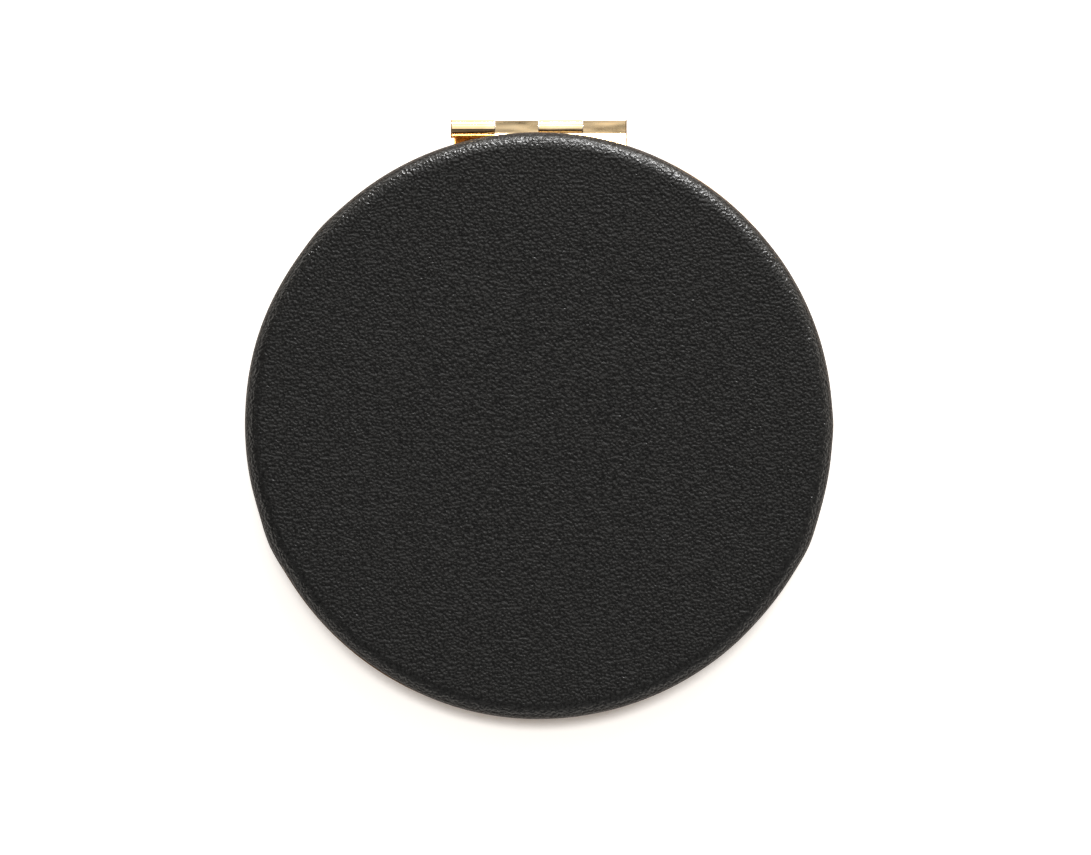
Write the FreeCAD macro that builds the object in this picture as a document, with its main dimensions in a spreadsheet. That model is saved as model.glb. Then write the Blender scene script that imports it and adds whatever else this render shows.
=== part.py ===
import FreeCAD, Part
import Sketcher
import collections
import math
import os
from types import MappingProxyType

# A round compact mirror in millimetres: two drawn brass trays hinged at the top, a mirror in each,
# and a padded leather cover glued to the back of each tray.
# It lies shut on its back as on a table: +Z is up, towards the lid, +Y is towards the hinge, and the
# origin is the middle of the back cover.
# Each half is drawn upright, as the lid, with the hinge at the top, the case centre at its own origin
# and its levels counted outwards, towards -Y, from the plane where the halves meet. The base is the
# same half after half a turn about its own upright axis. Then both are laid down.

# Driving sizes
SIZES = {
    # Case: the drawn trays
    "case_radius": 35.0,  # tray wall, outside
    "parting_gap": 0.2,  # slit between the shut halves
    "sheet_gauge": 0.45,  # thickness of the drawn sheet
    "bend_radius": 0.6,  # floor into wall, outside
    "lip_round": 0.12,  # polished edges of the lip
    # Mirror and the bezel that frames it
    "bezel_recess": 0.05,  # bezel face below the tray lip
    "bezel_gauge": 0.35,
    "bezel_skirt": 0.4,  # thickness of the bezel's turned-down edge
    "bezel_clearance": 0.05,
    "bezel_overlap": 0.7,  # how far the bezel covers the mirror's edge
    "bezel_chamfer": 0.15,
    "mirror_thickness": 1.1,
    "mirror_clearance": 0.2,
    "mirror_chamfer": 0.1,
    "dish_depth": 0.45,  # hollow of the magnifying mirror
    "dish_margin": 0.2,  # how far the hollow runs under the bezel
    "tape_thickness": 0.15,
    "tape_inset": 1.5,
    # Magnets that hold the halves shut
    "magnet_length": 6.0,
    "magnet_width": 1.5,
    "magnet_thickness": 1.0,
    "magnet_clearance": 0.2,
    # Padded cover
    "rim_show": 0.15,  # brass that shows round the leather
    "film_thickness": 0.1,
    "film_inset": 1.0,
    "turn_in_width": 10.0,
    "board_thickness": 1.1,
    "foam_thickness": 0.55,
    "foam_edge": 0.2,  # foam between the board's front corner and the leather
    "pad_clearance": 0.02,
    "leather_thickness": 0.8,
    "edge_wall": 0.6,  # straight part of the leather's edge, before it rounds over
    # Hinge
    "hinge_length": 21.0,
    "hinge_rise": 0.4,  # pin axis above the case's edge
    "pin_radius": 0.6,
    "pin_clearance": 0.04,
    "pin_recess": 0.1,
    "pin_chamfer": 0.1,
    "leaf_gauge": 0.45,
    "knuckle_gap": 0.1,
    "knuckle_corner": 0.15,  # rounding of the lid knuckles' squared front
    "slot_clearance": 0.12,
    "tangent_drop": 0.55,  # leaf's straight run from the pin's height to its first bend
    "fold_radius": 0.2,  # inside of the leaf's bends
    "plate_drop": 6.5,  # flat of the leaf on the back of the tray
    "plate_corner": 1.0,
    "base_plate_inset": 0.4,  # base plate set in from the end of its knuckle
    "flat_clearance": 0.15,
    "notch_clearance": 0.2,
    # Rivets that hold each leaf to its tray
    "rivet_radius": 0.6,
    "rivet_fit": 0.02,
    "rivet_head_radius": 1.1,
    "rivet_head": 0.2,
    "rivet_margin": 2.6,
    "head_clearance": 0.05,
}

# Sizes and places that follow from the driving sizes
FITS = {
    # Hinge section
    "hinge_height": "=sizes.case_radius + sizes.hinge_rise",
    "knuckle_bore": "=sizes.pin_radius + sizes.pin_clearance",
    "knuckle_radius": "=knuckle_bore + sizes.leaf_gauge",
    "knuckle_top": "=hinge_height + knuckle_radius",
    "knuckle_length": "=sizes.hinge_length / 4",
    "hinge_half": "=sizes.hinge_length / 2",
    "leaf_left": "=sizes.knuckle_gap / 2 - knuckle_length",
    "tube_length": "=hinge_half - leaf_left",
    "slot_left": "=-sizes.knuckle_gap / 2",
    "slot_length": "=knuckle_length + sizes.knuckle_gap",
    "inner_knuckle": "=slot_left - leaf_left",
    "outer_left": "=slot_left + slot_length",
    "outer_knuckle": "=hinge_half - outer_left",
    "round_slot": "=knuckle_radius + sizes.slot_clearance",
    "corner_reach": "=(knuckle_radius - sizes.knuckle_corner) * sqrt(2) + sizes.knuckle_corner",
    "square_slot": "=corner_reach + sizes.slot_clearance",
    "outer_fold": "=sizes.fold_radius + sizes.leaf_gauge",
    "pin_left": "=sizes.pin_recess - hinge_half",
    "pin_length": "=sizes.hinge_length - 2 * sizes.pin_recess",
    # Levels inside the tray, outwards from the parting plane
    "lip_level": "=sizes.parting_gap / 2",
    "bezel_front": "=lip_level + sizes.bezel_recess",
    "mirror_front": "=bezel_front + sizes.bezel_gauge",
    "tape_front": "=mirror_front + sizes.mirror_thickness",
    "tray_floor": "=tape_front + sizes.tape_thickness",
    "tray_back": "=tray_floor + sizes.sheet_gauge",
    "tray_depth": "=tray_back - lip_level",
    "tray_hollow": "=tray_floor - lip_level",
    "magnet_front": "=tray_floor - sizes.magnet_thickness",
    # Leaf: joggle at 45 degrees from the knuckle out to the back of the tray
    "plate_front": "=tray_back + sizes.leaf_gauge",
    "joggle_top": "=hinge_height - sizes.tangent_drop",
    "joggle_foot": "=joggle_top - (plate_front - knuckle_radius)",
    "under_top": "=joggle_top - sizes.leaf_gauge * tan(22.5 deg)",
    "under_foot": "=under_top - (tray_back - knuckle_bore)",
    "plate_bottom": "=joggle_foot - sizes.plate_drop",
    "lid_plate_length": "=tube_length",
    "base_plate_length": "=tube_length - sizes.base_plate_inset",
    "tray_flat": "=under_foot - sizes.flat_clearance",
    # Levels of the cover
    "cover_inside": "=tray_back + sizes.film_thickness",
    "board_back": "=plate_front + sizes.rivet_head + sizes.head_clearance",
    "turn_in_thickness": "=board_back - cover_inside",
    "board_front": "=board_back + sizes.board_thickness",
    "leather_inside": "=board_front + sizes.foam_thickness",
    "cover_outside": "=leather_inside + sizes.leather_thickness",
    "cover_height": "=cover_outside - cover_inside",
    "foam_front": "=leather_inside - sizes.pad_clearance",
    "foam_height": "=foam_front - cover_inside",
    "board_pocket": "=board_front - cover_inside",
    # Radii of the cover
    "leather_radius": "=sizes.case_radius - sizes.rim_show",
    "cavity_radius": "=leather_radius - sizes.leather_thickness",
    "edge_round": "=cover_height - sizes.edge_wall",
    "inner_round": "=edge_round - sizes.leather_thickness",
    "edge_level": "=cover_inside + sizes.edge_wall",
    "round_centre": "=leather_radius - edge_round",
    "mouth_rise": "=board_back - edge_level",
    "cavity_mouth": "=round_centre + sqrt(inner_round ^ 2 - mouth_rise ^ 2)",
    "foam_radius": "=cavity_radius - sizes.pad_clearance",
    "foam_round": "=inner_round - sizes.pad_clearance",
    "round_rise": "=inner_round - sizes.foam_thickness",
    "round_reach": "=sqrt(inner_round ^ 2 - round_rise ^ 2)",
    "board_radius": "=round_centre + round_reach - sizes.foam_edge",
    "board_recess": "=board_radius + sizes.pad_clearance",
    "turn_in_radius": "=leather_radius - sizes.turn_in_width",
    "film_radius": "=leather_radius - sizes.film_inset",
    # Room for the leaf in the cover and in its film of glue
    "notch_left": "=leaf_left - sizes.notch_clearance",
    "notch_right": "=hinge_half + sizes.notch_clearance",
    "notch_bottom": "=plate_bottom - sizes.notch_clearance",
    "notch_depth": "=turn_in_thickness + sizes.notch_clearance",
    # Bezel, mirror and magnet
    "tray_bore": "=sizes.case_radius - sizes.sheet_gauge",
    "tray_bore_flat": "=tray_flat - sizes.sheet_gauge",
    "bezel_radius": "=tray_bore - sizes.bezel_clearance",
    "bezel_flat": "=tray_bore_flat - sizes.bezel_clearance",
    "bezel_bore": "=bezel_radius - sizes.bezel_skirt",
    "bezel_bore_flat": "=bezel_flat - sizes.bezel_skirt",
    "bezel_depth": "=tray_floor - bezel_front",
    "skirt_depth": "=tray_floor - mirror_front",
    "mirror_radius": "=bezel_bore_flat - sizes.mirror_clearance",
    "bezel_opening": "=mirror_radius - sizes.bezel_overlap",
    "tape_radius": "=mirror_radius - sizes.tape_inset",
    "dish_rim": "=bezel_opening + sizes.dish_margin",
    "dish_sphere": "=(dish_rim ^ 2 + sizes.dish_depth ^ 2) / (2 * sizes.dish_depth)",
    "dish_centre": "=dish_sphere - sizes.dish_depth - mirror_front",
    "magnet_right": "=sizes.magnet_length / 2",
    "magnet_top": "=-(mirror_radius + sizes.magnet_clearance)",
    "magnet_bottom": "=magnet_top - sizes.magnet_width",
    # Rivets
    "rivet_left": "=leaf_left + sizes.rivet_margin",
    "rivet_right": "=leaf_left + base_plate_length - sizes.rivet_margin",
    "rivet_middle": "=(rivet_left + rivet_right) / 2",
    "rivet_height": "=plate_bottom + sizes.plate_drop / 2",
    "rivet_hole": "=sizes.rivet_radius + sizes.rivet_fit",
    "rivet_grip": "=plate_front - tray_floor",
}
RIVET_PLACES = ("rivet_left", "rivet_middle", "rivet_right")
# Where each of a leaf's two knuckles starts along the pin, and its length
KNUCKLES = (("leaf_left", "inner_knuckle"), ("outer_left", "outer_knuckle"))

# A half's name, its turn about its upright axis in degrees, the cell with its plate's length, the
# cell with the radius of the slot for the other half's knuckles, and whether its own knuckles are
# squared in front
Half = collections.namedtuple("Half", "name turn plate_length slot square")
LID = Half("lid", 0, "lid_plate_length", "round_slot", True)
BASE = Half("base", 180, "base_plate_length", "square_slot", False)

# A round side of an outline: the cells with its centre and radius, and whether it turns left
Arc = collections.namedtuple("Arc", "across up radius left")

# How a sketch names its own origin, axes and the points of a line or arc
ORIGIN = (-1, 1)
ACROSS_AXIS, UP_AXIS = -1, -2
SketchPoint = collections.namedtuple("SketchPoint", "start end centre")
POINT = SketchPoint(start=1, end=2, centre=3)

ALONG_X = FreeCAD.Vector(1, 0, 0)
ALONG_Z = FreeCAD.Vector(0, 0, 1)
LAID_DOWN = FreeCAD.Rotation(ALONG_X, -90)
FULL_TURN = 360
SAME_PLACE = 1e-4
EDGE_SAMPLES = 7

doc = FreeCAD.newDocument("compact_mirror")
cells = {}
pieces = []


# Cells and bindings


def fill_sheet(name, entries):
    """A sheet with one row for each entry: its name, then its number or formula under that alias."""
    sheet = doc.addObject("Spreadsheet::Sheet", name)
    for row, (alias, content) in enumerate(entries.items(), start=1):
        sheet.set(f"A{row}", alias)
        sheet.set(f"B{row}", str(content))
        sheet.setAlias(f"B{row}", alias)
        cells[alias] = sheet
    doc.recompute()


def number(name):
    """The number in a cell, or its opposite after a minus sign. No name means zero."""
    if name is None:
        return 0.0
    if name.startswith("-"):
        return -number(name[1:])
    return float(cells[name].get(name))


def formula(name):
    """The expression that reads a cell."""
    if name.startswith("-"):
        return f"-{formula(name[1:])}"
    return f"{cells[name].Name}.{name}"


def bind(item, prop, name):
    item.setExpression(prop, formula(name))


# Bodies, sketches and features


def new_body(name, turn=0):
    """An empty body with its origin at the case centre, turned and then laid down."""
    body = doc.addObject("PartDesign::Body", name)
    body.Label = name
    body.AllowCompound = True
    body.Placement.Rotation = LAID_DOWN * FreeCAD.Rotation(ALONG_Z, turn)
    bind(body, "Placement.Base.z", "cover_outside")
    pieces.append(body)
    return body


def new_sketch(body, name, plane, level):
    """An empty sketch on one of the body's own planes, or at a level along the plane's normal."""
    sketch = body.newObject("Sketcher::SketchObject", f"{body.Name}_{name}")
    support = next(item for item in body.Origin.OriginFeatures if item.Role == plane)
    sketch.AttachmentSupport = [(support, "")]
    sketch.MapMode = "FlatFace"
    if level is not None:
        bind(sketch, "AttachmentOffset.Base.z", level)
    return sketch


def face_sketch(body, name, level):
    """A sketch parallel to the mirrors, with X across and Z up, whose pads go outwards."""
    return new_sketch(body, name, "XZ_Plane", level)


def section_sketch(body, name, level):
    """A sketch square to the pin, with Y across and Z up, whose pads go along the pin."""
    return new_sketch(body, name, "YZ_Plane", level)


def dimension(sketch, constraint, name):
    index = sketch.addConstraint(constraint)
    sketch.setExpression(f"Constraints[{index}]", formula(name))


def place_point(sketch, geometry, point, across, up):
    """Ties a point to the cells with its two distances from the origin. No name puts it on the axis."""
    if across is None:
        sketch.addConstraint(Sketcher.Constraint("PointOnObject", geometry, point, UP_AXIS))
    else:
        distance = Sketcher.Constraint("DistanceX", *ORIGIN, geometry, point, number(across))
        dimension(sketch, distance, across)
    if up is None:
        sketch.addConstraint(Sketcher.Constraint("PointOnObject", geometry, point, ACROSS_AXIS))
    else:
        distance = Sketcher.Constraint("DistanceY", *ORIGIN, geometry, point, number(up))
        dimension(sketch, distance, up)


def draw_circle(sketch, radius, across=None, up=None):
    centre = FreeCAD.Vector(number(across), number(up), 0)
    circle = Part.Circle(centre, ALONG_Z, number(radius))
    geometry = sketch.addGeometry(circle, False)
    place_point(sketch, geometry, POINT.centre, across, up)
    dimension(sketch, Sketcher.Constraint("Radius", geometry, number(radius)), radius)


def draw_flatted_circle(sketch, radius, flat):
    """A circle about the case centre, cut off by a level line near its top."""
    circle = Part.Circle(FreeCAD.Vector(0, 0, 0), ALONG_Z, number(radius))
    half_angle = math.acos(number(flat) / number(radius))
    first_angle = math.pi / 2 + half_angle
    last_angle = math.pi * 5 / 2 - half_angle
    rim = Part.ArcOfCircle(circle, first_angle, last_angle)
    arc = sketch.addGeometry(rim, False)
    line = sketch.addGeometry(Part.LineSegment(rim.EndPoint, rim.StartPoint), False)
    sketch.addConstraint(Sketcher.Constraint("Coincident", arc, POINT.centre, *ORIGIN))
    sketch.addConstraint(Sketcher.Constraint("Coincident", arc, POINT.end, line, POINT.start))
    sketch.addConstraint(Sketcher.Constraint("Coincident", line, POINT.end, arc, POINT.start))
    sketch.addConstraint(Sketcher.Constraint("Horizontal", line))
    dimension(sketch, Sketcher.Constraint("Radius", arc, number(radius)), radius)
    height = Sketcher.Constraint("DistanceY", *ORIGIN, line, POINT.start, number(flat))
    dimension(sketch, height, flat)


def draw_outline(sketch, corners, arcs=MappingProxyType({})):
    """A closed outline through corners that are given as pairs of cell names. A side whose number is
    in arcs is round, and the others are straight."""
    points = [FreeCAD.Vector(number(across), number(up), 0) for across, up in corners]
    sides = []
    for index, (start, end) in enumerate(zip(points, points[1:] + points[:1])):
        if index in arcs:
            sides.append(draw_arc(sketch, start, end, arcs[index]))
        else:
            line = sketch.addGeometry(Part.LineSegment(start, end), False)
            sides.append(((line, POINT.start), (line, POINT.end)))
    for (_, last), (first, _) in zip(sides, sides[1:] + sides[:1]):
        sketch.addConstraint(Sketcher.Constraint("Coincident", *last, *first))
    for (first, _), (across, up) in zip(sides, corners):
        place_point(sketch, *first, across, up)


def draw_arc(sketch, start, end, arc):
    """One round side. Gives its first and last point, each as the geometry's number and the end."""
    centre = FreeCAD.Vector(number(arc.across), number(arc.up), 0)
    first, last = (start, end) if arc.left else (end, start)
    first_angle = math.atan2(first.y - centre.y, first.x - centre.x)
    last_angle = math.atan2(last.y - centre.y, last.x - centre.x)
    circle = Part.Circle(centre, ALONG_Z, number(arc.radius))
    side = sketch.addGeometry(Part.ArcOfCircle(circle, first_angle, last_angle), False)
    dimension(sketch, Sketcher.Constraint("Radius", side, number(arc.radius)), arc.radius)
    if arc.left:
        return (side, POINT.start), (side, POINT.end)
    return (side, POINT.end), (side, POINT.start)


def draw_rectangle(sketch, left, right, bottom, top):
    draw_outline(sketch, [(left, bottom), (right, bottom), (right, top), (left, top)])


def draw_rivet_circles(sketch, radius):
    for place in RIVET_PLACES:
        draw_circle(sketch, radius, place, "rivet_height")


def pad(body, sketch, length):
    feature = body.newObject("PartDesign::Pad", f"{sketch.Name}_pad")
    feature.Profile = sketch
    bind(feature, "Length", length)
    return feature


def pocket(body, sketch, depth):
    """A cut that goes the same way as a pad of its sketch would."""
    feature = body.newObject("PartDesign::Pocket", f"{sketch.Name}_pocket")
    feature.Profile = sketch
    feature.Reversed = True
    bind(feature, "Length", depth)
    return feature


def revolve(body, sketch):
    """A full turn about the axis of the case."""
    feature = body.newObject("PartDesign::Revolution", f"{sketch.Name}_turn")
    feature.Profile = sketch
    feature.ReferenceAxis = (sketch, ["H_Axis"])
    feature.Angle = FULL_TURN
    return feature


def edges_where(feature, **places):
    """Names of the edges all of whose points have the given coordinates, named as cells."""
    doc.recompute()
    names = []
    for index, edge in enumerate(feature.Shape.Edges, start=1):
        points = edge.discretize(EDGE_SAMPLES)
        offsets = [
            abs(getattr(point, axis) - number(place))
            for point in points
            for axis, place in places.items()
        ]
        if max(offsets) < SAME_PLACE:
            names.append(f"Edge{index}")
    return names


def round_edges(body, radius, **places):
    base = body.Tip
    edges = edges_where(base, **places)
    feature = body.newObject("PartDesign::Fillet", f"{body.Name}_round")
    feature.Base = (base, edges)
    bind(feature, "Radius", radius)
    return feature


def bevel_edges(body, size, **places):
    base = body.Tip
    edges = edges_where(base, **places)
    feature = body.newObject("PartDesign::Chamfer", f"{body.Name}_bevel")
    feature.Base = (base, edges)
    bind(feature, "Size", size)
    return feature


# Pieces of one half


def make_disc(name, half, level, radius, thickness):
    body = new_body(name, half.turn)
    sketch = face_sketch(body, "outline", level)
    draw_circle(sketch, radius)
    pad(body, sketch, thickness)
    return body


def make_tray(half):
    """Drawn brass pan with a flat wall behind the hinge and holes for the rivets in its floor."""
    body = new_body(f"{half.name}_tray", half.turn)
    outline = face_sketch(body, "outline", "lip_level")
    draw_flatted_circle(outline, "case_radius", "tray_flat")
    pad(body, outline, "tray_depth")
    round_edges(body, "bend_radius", y="-tray_back")
    hollow = face_sketch(body, "hollow", "lip_level")
    draw_flatted_circle(hollow, "tray_bore", "tray_bore_flat")
    pocket(body, hollow, "tray_hollow")
    holes = face_sketch(body, "rivet_holes", "tray_floor")
    draw_rivet_circles(holes, "rivet_hole")
    pocket(body, holes, "sheet_gauge")
    round_edges(body, "lip_round", y="-lip_level")


def make_bezel_ring(half):
    """Frame round the mirror, whose turned-down edge stands on the tray's floor."""
    body = new_body(f"{half.name}_bezel_ring", half.turn)
    outline = face_sketch(body, "outline", "bezel_front")
    draw_flatted_circle(outline, "bezel_radius", "bezel_flat")
    pad(body, outline, "bezel_depth")
    underside = face_sketch(body, "underside", "mirror_front")
    draw_flatted_circle(underside, "bezel_bore", "bezel_bore_flat")
    pocket(body, underside, "skirt_depth")
    opening = face_sketch(body, "opening", "bezel_front")
    draw_circle(opening, "bezel_opening")
    pocket(body, opening, "bezel_gauge")
    bevel_edges(body, "bezel_chamfer", y="-bezel_front")


def make_mirror(half):
    """Round silvered glass with its sharp front edge ground off."""
    name = f"{half.name}_mirror"
    body = make_disc(name, half, "mirror_front", "mirror_radius", "mirror_thickness")
    bevel_edges(body, "mirror_chamfer", y="-mirror_front")
    return body


def hollow_mirror(body):
    """Spherical hollow that makes a mirror magnify."""
    dish = body.newObject("PartDesign::SubtractiveSphere", f"{body.Name}_dish")
    bind(dish, "Radius", "dish_sphere")
    bind(dish, "Placement.Base.y", "dish_centre")


def make_magnet(half):
    """Bar magnet on the tray's floor, opposite the hinge and under the bezel."""
    body = new_body(f"{half.name}_magnet", half.turn)
    outline = face_sketch(body, "outline", "magnet_front")
    draw_rectangle(outline, "-magnet_right", "magnet_right", "magnet_bottom", "magnet_top")
    pad(body, outline, "magnet_thickness")


def make_cover_adhesive(half):
    """Film of glue between tray and cover, cut away round the hinge leaf."""
    name = f"{half.name}_cover_adhesive"
    body = make_disc(name, half, "tray_back", "film_radius", "film_thickness")
    notch = face_sketch(body, "notch", "tray_back")
    draw_rectangle(notch, "notch_left", "notch_right", "notch_bottom", "case_radius")
    pocket(body, notch, "film_thickness")


def make_foam_pad(half):
    """Thin foam over the board's face, which rounds over its edge."""
    name = f"{half.name}_foam_pad"
    body = make_disc(name, half, "cover_inside", "foam_radius", "foam_height")
    round_edges(body, "foam_round", y="-foam_front")
    back = face_sketch(body, "back", "cover_inside")
    draw_circle(back, "case_radius")
    pocket(body, back, "turn_in_thickness")
    recess = face_sketch(body, "recess", "cover_inside")
    draw_circle(recess, "board_recess")
    pocket(body, recess, "board_pocket")


def make_leather_cover(half):
    """Leather drawn over foam and board and turned in behind, with the turn-in cut round the leaf.

    The section is drawn below the axis, so that the turn starts opposite the leaf."""
    body = new_body(f"{half.name}_leather_cover", half.turn)
    section = section_sketch(body, "section", None)
    corners = [
        ("-cover_inside", "-turn_in_radius"),
        ("-cover_inside", "-leather_radius"),
        ("-edge_level", "-leather_radius"),
        ("-cover_outside", "-round_centre"),
        ("-cover_outside", None),
        ("-leather_inside", None),
        ("-leather_inside", "-round_centre"),
        ("-board_back", "-cavity_mouth"),
        ("-board_back", "-turn_in_radius"),
    ]
    arcs = {
        2: Arc("-edge_level", "-round_centre", "edge_round", False),
        6: Arc("-edge_level", "-round_centre", "inner_round", True),
    }
    draw_outline(section, corners, arcs)
    revolve(body, section)
    notch = face_sketch(body, "notch", "cover_inside")
    draw_rectangle(notch, "notch_left", "notch_right", "notch_bottom", "case_radius")
    pocket(body, notch, "notch_depth")


def make_hinge_leaf(half):
    """Folded brass strip: two knuckles, a joggle, and a plate that lies on the back of the tray."""
    body = new_body(f"{half.name}_hinge_leaf", half.turn)
    strip = section_sketch(body, "strip", "leaf_left")
    draw_outline(
        strip,
        [
            ("-knuckle_radius", "hinge_height"),
            ("-knuckle_radius", "joggle_top"),
            ("-plate_front", "joggle_foot"),
            ("-plate_front", "plate_bottom"),
            ("-tray_back", "plate_bottom"),
            ("-tray_back", "under_foot"),
            ("-knuckle_bore", "under_top"),
            ("-knuckle_bore", "hinge_height"),
        ],
    )
    pad(body, strip, half.plate_length)
    round_edges(body, "fold_radius", y="-knuckle_radius", z="joggle_top")
    round_edges(body, "fold_radius", y="-tray_back", z="under_foot")
    round_edges(body, "outer_fold", y="-plate_front", z="joggle_foot")
    round_edges(body, "outer_fold", y="-knuckle_bore", z="under_top")
    round_edges(body, "plate_corner", x="leaf_left", z="plate_bottom")
    slot = section_sketch(body, "slot", "slot_left")
    draw_circle(slot, half.slot, None, "hinge_height")
    pocket(body, slot, "slot_length")
    for left, length in KNUCKLES:
        tube = section_sketch(body, "tube", left)
        draw_circle(tube, "knuckle_radius", None, "hinge_height")
        pad(body, tube, length)
        if half.square:
            front = section_sketch(body, "squared_front", left)
            corners = [("-knuckle_radius", "hinge_height"), ("-knuckle_radius", "knuckle_top")]
            corners += [(None, "knuckle_top"), (None, "hinge_height")]
            draw_outline(front, corners)
            pad(body, front, length)
    if half.square:
        round_edges(body, "knuckle_corner", y="-knuckle_radius", z="knuckle_top")
    bore = section_sketch(body, "bore", "leaf_left")
    draw_circle(bore, "knuckle_bore", None, "hinge_height")
    pocket(body, bore, "tube_length")
    holes = face_sketch(body, "rivet_holes", "tray_back")
    draw_rivet_circles(holes, "rivet_hole")
    pocket(body, holes, "leaf_gauge")


def make_hinge_rivets(half):
    """Three rivets, flush with the tray's floor and with a thin head on the leaf."""
    body = new_body(f"{half.name}_hinge_rivets", half.turn)
    shanks = face_sketch(body, "shanks", "tray_floor")
    draw_rivet_circles(shanks, "rivet_radius")
    pad(body, shanks, "rivet_grip")
    heads = face_sketch(body, "heads", "plate_front")
    draw_rivet_circles(heads, "rivet_head_radius")
    pad(body, heads, "rivet_head")


def make_half(half):
    make_tray(half)
    make_disc(f"{half.name}_mirror_tape", half, "tape_front", "tape_radius", "tape_thickness")
    mirror = make_mirror(half)
    if half is BASE:
        hollow_mirror(mirror)
    make_bezel_ring(half)
    make_magnet(half)
    make_hinge_leaf(half)
    make_hinge_rivets(half)
    make_cover_adhesive(half)
    board = f"{half.name}_stiffener_board"
    make_disc(board, half, "board_back", "board_radius", "board_thickness")
    make_foam_pad(half)
    make_leather_cover(half)


def make_hinge_pin():
    """Steel pin through all the knuckles, with its ends just below theirs."""
    body = new_body("hinge_pin")
    section = section_sketch(body, "section", "pin_left")
    draw_circle(section, "pin_radius", None, "hinge_height")
    pad(body, section, "pin_length")
    bevel_edges(body, "pin_chamfer", x="pin_left")
    bevel_edges(body, "pin_chamfer", x="-pin_left")


# Checks and files


def check_features():
    """Stops at a feature that failed or a cut that took nothing away."""
    doc.recompute()
    for item in doc.Objects:
        if "Invalid" in item.State or "Error" in item.State:
            raise RuntimeError(f"{item.Label}: {item.getStatusString()}")
        if item.TypeId in ("PartDesign::Pocket", "PartDesign::SubtractiveSphere"):
            if item.Shape.Volume >= item.BaseFeature.Shape.Volume:
                raise RuntimeError(f"{item.Label} cuts nothing")


def check_pieces():
    for piece in pieces:
        if piece.Shape.isNull() or not piece.Shape.isValid():
            raise RuntimeError(f"{piece.Label} has no valid shape")


def write_pieces():
    os.makedirs("parts", exist_ok=True)
    for piece in pieces:
        piece.Shape.exportStep(f"parts/{piece.Label}.step")
        solids = len(piece.Shape.Solids)
        print(f"{piece.Label}: {solids} solid, {piece.Shape.Volume:.2f} cubic mm")


fill_sheet("sizes", SIZES)
fill_sheet("fits", FITS)
make_half(LID)
make_half(BASE)
make_hinge_pin()
check_features()
check_pieces()
write_pieces()
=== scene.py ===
# %% [markdown]
# # A compact mirror in black leather
#
# The object is a round folding pocket mirror, shut. Two thin gold trays are hinged together, each holds
# a mirror, and the back of each is covered with leather drawn over foam and board. The metal and the
# glass come from the CAD model, which has their true shape. The leather is soft, so it is modelled here.
# The script goes from the frame and the camera to the leather, the finishes and the studio.

# %% The frame that everything is built around
import math

import bpy
import numpy as np
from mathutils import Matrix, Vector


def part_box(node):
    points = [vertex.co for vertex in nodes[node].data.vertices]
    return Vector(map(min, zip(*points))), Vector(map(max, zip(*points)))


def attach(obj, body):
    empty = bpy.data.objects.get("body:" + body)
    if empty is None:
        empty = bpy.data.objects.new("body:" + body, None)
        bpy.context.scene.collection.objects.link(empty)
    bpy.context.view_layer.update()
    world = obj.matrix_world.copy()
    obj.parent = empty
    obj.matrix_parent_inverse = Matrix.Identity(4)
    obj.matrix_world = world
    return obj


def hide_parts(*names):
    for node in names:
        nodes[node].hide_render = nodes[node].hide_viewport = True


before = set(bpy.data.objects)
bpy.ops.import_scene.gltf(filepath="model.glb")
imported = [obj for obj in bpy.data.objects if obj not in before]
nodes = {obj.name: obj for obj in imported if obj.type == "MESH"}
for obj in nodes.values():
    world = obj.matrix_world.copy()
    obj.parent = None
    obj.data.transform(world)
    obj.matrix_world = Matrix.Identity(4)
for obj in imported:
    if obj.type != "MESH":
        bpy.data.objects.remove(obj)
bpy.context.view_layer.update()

MM = 0.001

# %% [markdown]
# Sizes are read from the CAD pieces where they can be, so that the leather sits where its solid sits.
# Both halves are the same, turned over: a level is counted in millimetres outwards from the plane
# where the halves meet, which is the height of the hinge pin.

# %% Sizes taken from the CAD pieces
pin_low, pin_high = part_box("hinge_pin")
cover_low, cover_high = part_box("lid_leather_cover")
leaf_low, leaf_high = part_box("lid_hinge_leaf")

PARTING = (pin_low.z + pin_high.z) / 2 / MM
COVER_RADIUS = (cover_high.x - cover_low.x) / 2 / MM
COVER_FOOT = cover_low.z / MM - PARTING
COVER_TOP = cover_high.z / MM - PARTING
CASE_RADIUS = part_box("lid_tray")[1].x / MM
LEAF_LEFT = leaf_low.x / MM
LEAF_RIGHT = leaf_high.x / MM
LEAF_PLATE = leaf_low.y / MM
print(f"cover radius {COVER_RADIUS:.2f}, levels {COVER_FOOT:.2f} to {COVER_TOP:.2f} mm")

# %% [markdown]
# ## Camera
# The photograph looks straight at the lid with almost no perspective, so a long lens far away is right.
# The case spans a known number of pixels there, which gives the width of the frame in millimetres, and
# the lens and that width give the distance.

# %% Camera
IMAGE_WIDTH = 1091
CASE_RADIUS_PX = 293.3
CASE_CENTRE_OFFSET_MM = (0.81, -0.26)  # from the middle of the case to the middle of the frame
RIM_LEVEL_MM = PARTING + 1.6
LENS_MM = 400
SENSOR_MM = 36

frame_width = IMAGE_WIDTH * CASE_RADIUS / CASE_RADIUS_PX
camera_height = RIM_LEVEL_MM + frame_width * LENS_MM / SENSOR_MM
camera_data = bpy.data.cameras.new("camera")
camera_data.lens = LENS_MM
camera_data.sensor_width = SENSOR_MM
camera_data.clip_end = 100
camera = bpy.data.objects.new("camera", camera_data)
camera.location = (CASE_CENTRE_OFFSET_MM[0] * MM, CASE_CENTRE_OFFSET_MM[1] * MM, camera_height * MM)
bpy.context.scene.collection.objects.link(camera)
bpy.context.scene.camera = camera
bpy.context.scene.view_settings.view_transform = "Standard"
print(f"frame {frame_width:.1f} mm wide, camera {camera_height:.0f} mm up")

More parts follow.
